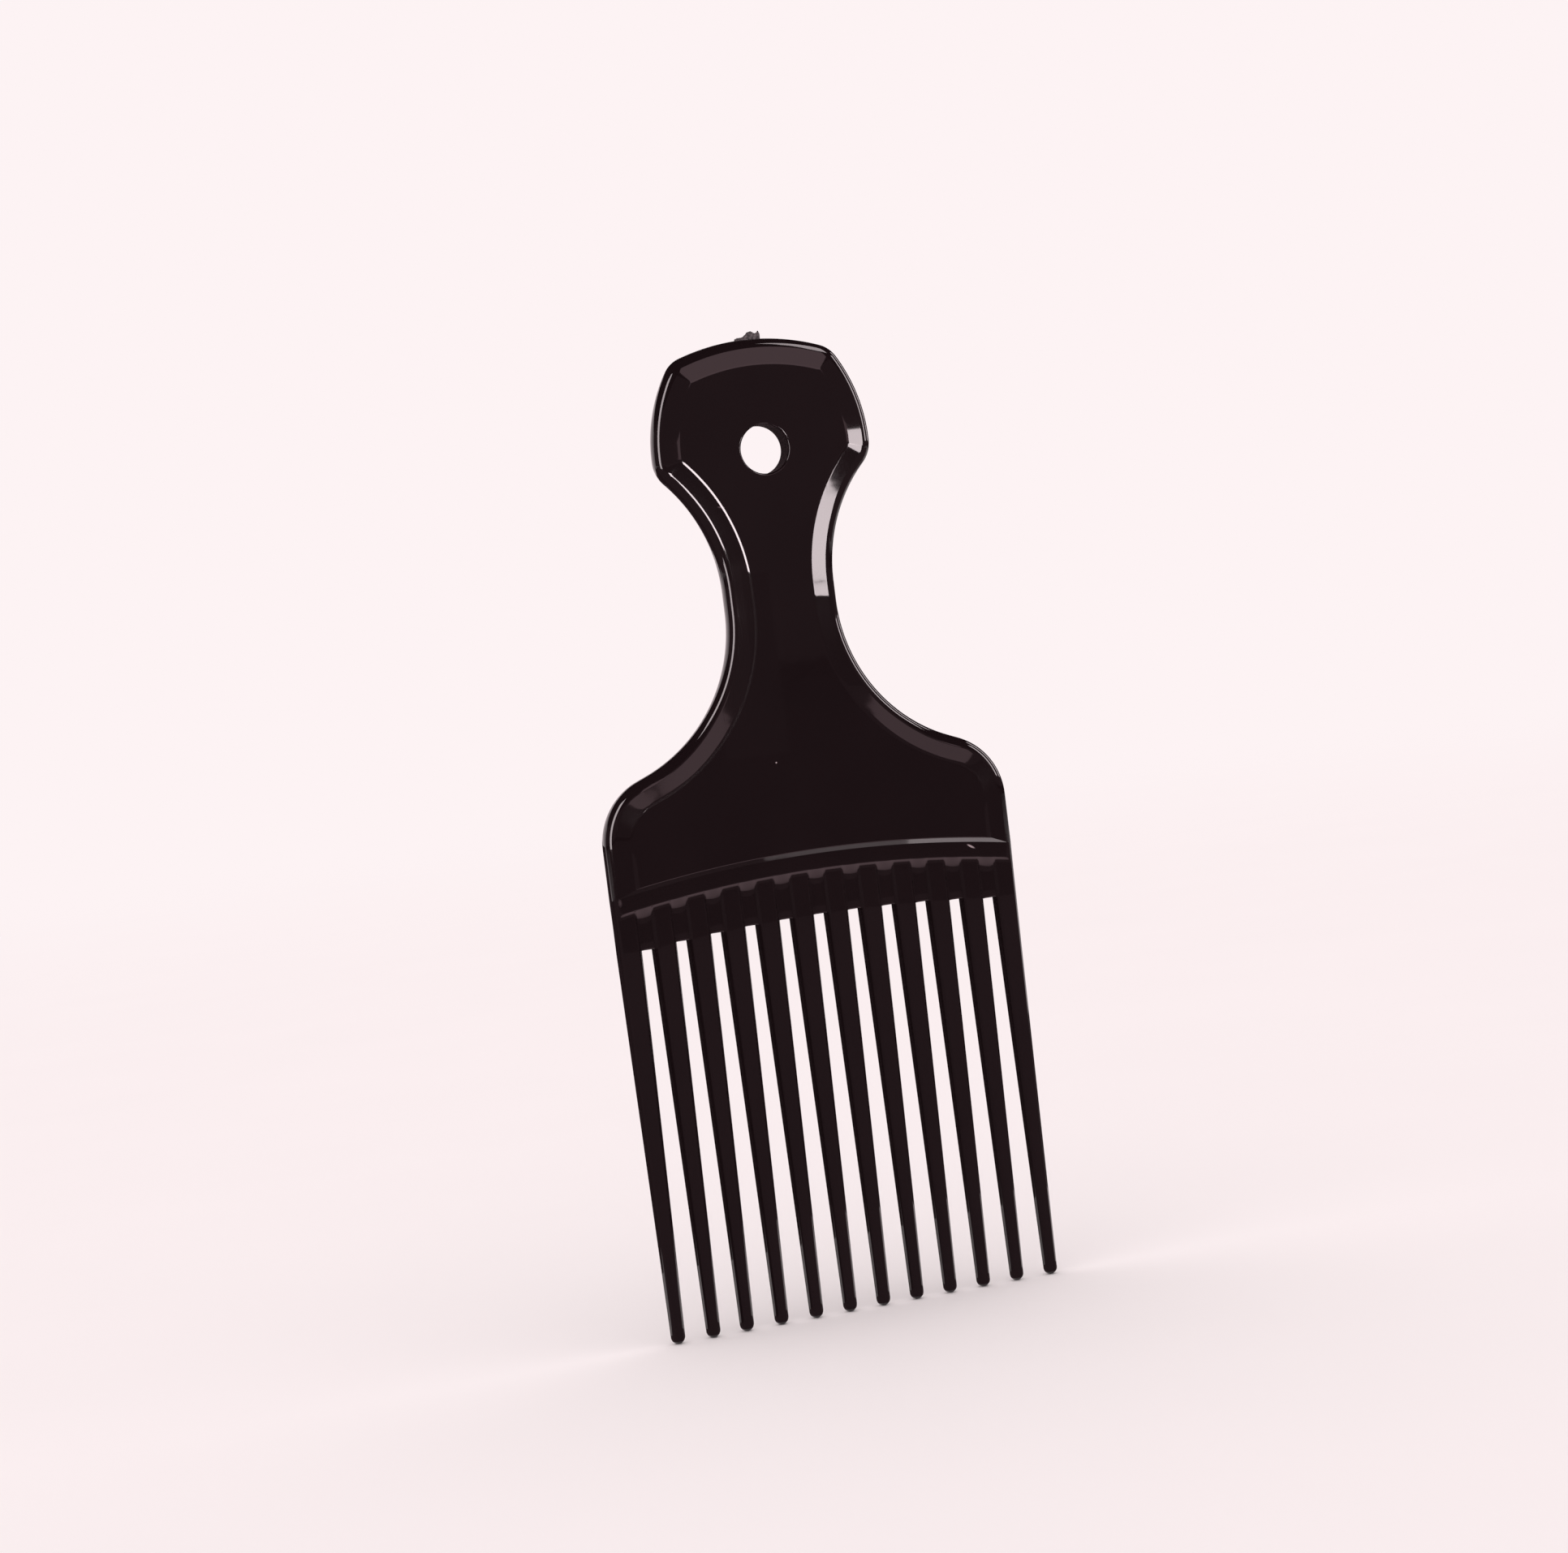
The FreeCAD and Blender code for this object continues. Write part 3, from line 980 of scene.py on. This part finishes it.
def make_floor():
    """A level sheet under the tips of the teeth."""
    mesh = bmesh.new()
    bmesh.ops.create_grid(mesh, x_segments=floor_squares, y_segments=floor_squares, size=floor_reach)
    data = bpy.data.meshes.new("paper_floor")
    mesh.to_mesh(data)
    mesh.free()
    data.materials.append(matt_paper())
    floor = bpy.data.objects.new("paper_floor", data)
    floor.location.z = tip_z * MM
    bpy.context.scene.collection.objects.link(floor)
    print("floor at %.0f mm" % tip_z)


make_floor()


# %% Pale room
def make_room():
    """A world with the tone of the paper."""
    world = bpy.data.worlds.new("pale_room")
    bpy.context.scene.world = world
    world.use_nodes = True
    tree = world.node_tree
    tree.nodes.clear()
    seen = add_node(tree, "ShaderNodeBackground", {"Color": linear("#fdf3f4"), "Strength": 1.0})
    add_node(tree, "ShaderNodeOutputWorld", {"Surface": seen.outputs["Background"]})
    # polished black mirrors the room, so the room is kept out of reflections and panels stand in for it
    world.cycles_visibility.glossy = False
    print("room:", world.name)


make_room()

# %% [markdown]
# ## Panels that the plastic mirrors
# Black gloss has almost no colour of its own: what shows its form is what it mirrors. A studio puts pale
# panels where their mirror image falls on a bevel or a crease. Each panel here is an area light that only
# mirrors see, so it shapes the shine and leaves the paper evenly lit. A place is given by its direction
# from a point on the pick: degrees to the right of straight ahead, degrees above level, and a distance.
# Glowing planes could do the same, but area lights give less noise.

# %% Making a panel
def add_panel(name, seen_from, right, up, distance, size, brightness, colour, spread=180, roll=0):
    """An area light that faces a point on the pick, its size and place in millimetres."""
    turn = math.radians(right)
    rise = math.radians(up)
    away = Vector((math.sin(turn) * math.cos(rise), -math.cos(turn) * math.cos(rise), math.sin(rise)))
    light = bpy.data.lights.new(name, "AREA")
    light.shape = "RECTANGLE"
    light.color = colour
    light.size = size[0] * MM
    light.size_y = size[1] * MM
    light.spread = math.radians(spread)
    light.energy = brightness * math.pi * light.size * light.size_y
    if spread < 180:
        # a narrow beam packs the same power into a smaller cone
        half = light.spread / 2
        light.energy *= (math.tan(half) - half) / math.tan(half)
    panel = bpy.data.objects.new(name, light)
    panel.location = (Vector(seen_from) + away * distance) * MM
    panel.rotation_mode = "QUATERNION"
    panel.rotation_quaternion = away.to_track_quat("Z", "Y") @ Quaternion((0, 0, 1), math.radians(roll))
    panel.visible_camera = False
    panel.visible_diffuse = False
    bpy.context.scene.collection.objects.link(panel)


# %% Panels
bright_paper = linear("#fff0f3")[:3]
dim_paper = linear("#ffd8e0")[:3]
room_glow = 0.095
room_sides = 5
first_side = 16              # degrees to the right

panels = [
    # name, seen from (mm), right, up (degrees), distance, size (mm), brightness, colour, spread, roll
    # soft fills for the bevels of the crown and the shoulders
    ("front_fill", (0, 0, -20), 17, 23.5, 600, (340, 185), 1.0, dim_paper),
    ("left_shoulder_fill", (-22, 0, -50), 1, 13.6, 300, (48, 23), 0.75, dim_paper),
    ("right_shoulder_fill", (22, 0, -50), 29, 13, 300, (52, 22), 0.7, dim_paper),
    # bright keys for the right bevel, on the neck and on the cheek
    ("neck_key", (8, 0, -14), 36.6, -3.4, 423, (60, 43), 12.5, bright_paper),
    ("cheek_key", (15.6, 0, 0), 38, 1.2, 60, (11, 9.5), 12, bright_paper),
    # thin lines along the rounded rim
    ("right_tall", (20, 0, -10), 66, 17, 500, (90, 270), 7, bright_paper),
    ("right_side", (20, 0, -10), 100, 20, 500, (90, 330), 6, bright_paper),
    ("right_top", (10, 0, -10), 42, 45, 500, (160, 160), 6, bright_paper),
    ("left_tall", (-20, 0, -20), -40, 15, 400, (105, 350), 8, bright_paper),
    ("left_low", (-12, 0, -10), -7.1, -9.8, 152, (18, 15), 20, bright_paper, 180, 18),
    ("front_low", (-11, 0, -10), 7.7, -2.1, 300, (34, 26), 22, bright_paper),
    ("back_left", (-30, 0, -40), -150, 6, 600, (1200, 420), 1.4, bright_paper),
    # light from below for the arched step and the scoops
    ("step_glow", (43, -18, -60), 0, -89, 81, (16, 4), 3.2, bright_paper, 80),
    ("step_dim", (37, -17.5, -60), 0, -89, 81, (42, 4), 1.5, bright_paper, 80),
    ("lobe_glow", (10, -64, -60), 0, -89, 81, (160, 84), 1.6, dim_paper, 130),
]
# the room itself, dim and all around
for number in range(room_sides):
    turned = first_side + 360 / room_sides * number
    panels.append(("room_%d" % number, (0, 0, 0), turned, 7.5, 700, (1015, 275), room_glow, dim_paper))
for row in panels:
    add_panel(*row)
print("panels:", len(panels))

# %% [markdown]
# ## Dark cards
# Where gloss should stay black, a studio hangs a dark card, called a flag, between the gloss and whatever
# is pale. Some cards here lie on the paper or stand behind the teeth, so that these don't mirror pale
# paper. Others are small and cut a panel off where its line of light should end. Only mirrors see them,
# and they cast no shadow.

# %% Making a card
def felt(name, glow):
    """Dark cloth, with the little light that it still gives back."""
    material = bpy.data.materials.new(name)
    material.use_nodes = True
    tree = material.node_tree
    tree.nodes.clear()
    cloth = add_node(tree, "ShaderNodeEmission", {"Color": linear("#ffd8e0"), "Strength": glow})
    add_node(tree, "ShaderNodeOutputMaterial", {"Surface": cloth.outputs["Emission"]})
    return material


def make_card(name, corners, cloth):
    """A card with its corners in millimetres."""
    data = bpy.data.meshes.new(name)
    data.from_pydata([Vector(corner) * MM for corner in corners], [], [(0, 1, 2, 3)])
    data.materials.append(cloth)
    card = bpy.data.objects.new(name, data)
    bpy.context.scene.collection.objects.link(card)
    card.visible_camera = False
    card.visible_diffuse = False
    card.visible_shadow = False
    card.visible_transmission = False


# %% Cards
card_z = tip_z + 0.5         # just above the paper


def floor_corners(left, right, front, back):
    """Corners of a card that lies on the paper."""
    return [(left, front, card_z), (right, front, card_z), (right, back, card_z), (left, back, card_z)]


def upright_corners(left, right, y, low, high):
    """Corners of a card that stands square to the front."""
    return [(left, y, low), (right, y, low), (right, y, high), (left, y, high)]


black_felt = felt("black_felt", 0.05)
grey_felt = felt("grey_felt", 0.12)
room_felt = felt("room_felt", 0.07)
cards = [
    # on the paper in front, far and near, for the flat face and the teeth
    ("far_card", floor_corners(-3000, 3000, -6000, -600), black_felt),
    ("near_card", floor_corners(-900, 900, -600, 3), grey_felt),
    # on the paper behind and upright behind the teeth, for the flanks of the teeth
    ("left_card", floor_corners(-900, -100, 3, 320), black_felt),
    ("back_card", floor_corners(-100, 300, 38, 300), black_felt),
    ("tooth_card", upright_corners(-600, 200, 320, tip_z, -68), black_felt),
    # at the back of the hang hole, for its wall
    ("hole_card", upright_corners(-4.2, 4.2, 2.2, -4.2, 4.2), black_felt),
    # cut neck_key off the right shoulder, and left_low off the left one
    ("shoulder_card", upright_corners(54, 78, -51, -70, -45), black_felt),
    ("corner_card", upright_corners(-42, -22, -51, -58, -44), black_felt),
    # cut front_low off below the neck and off the left shoulder
    ("neck_card", upright_corners(-8, 3, -20, -50, -19.5), room_felt),
    ("crease_card", upright_corners(-14, 8, -100, -49, -31), room_felt),
    # cuts neck_key off at the waist
    ("waist_card", [(15, -20, -37), (27, -20, -37), (27, -20, -25.0), (15, -20, -24.2)], black_felt),
]
for name, corners, cloth in cards:
    make_card(name, corners, cloth)
print("dark cards:", len(cards))
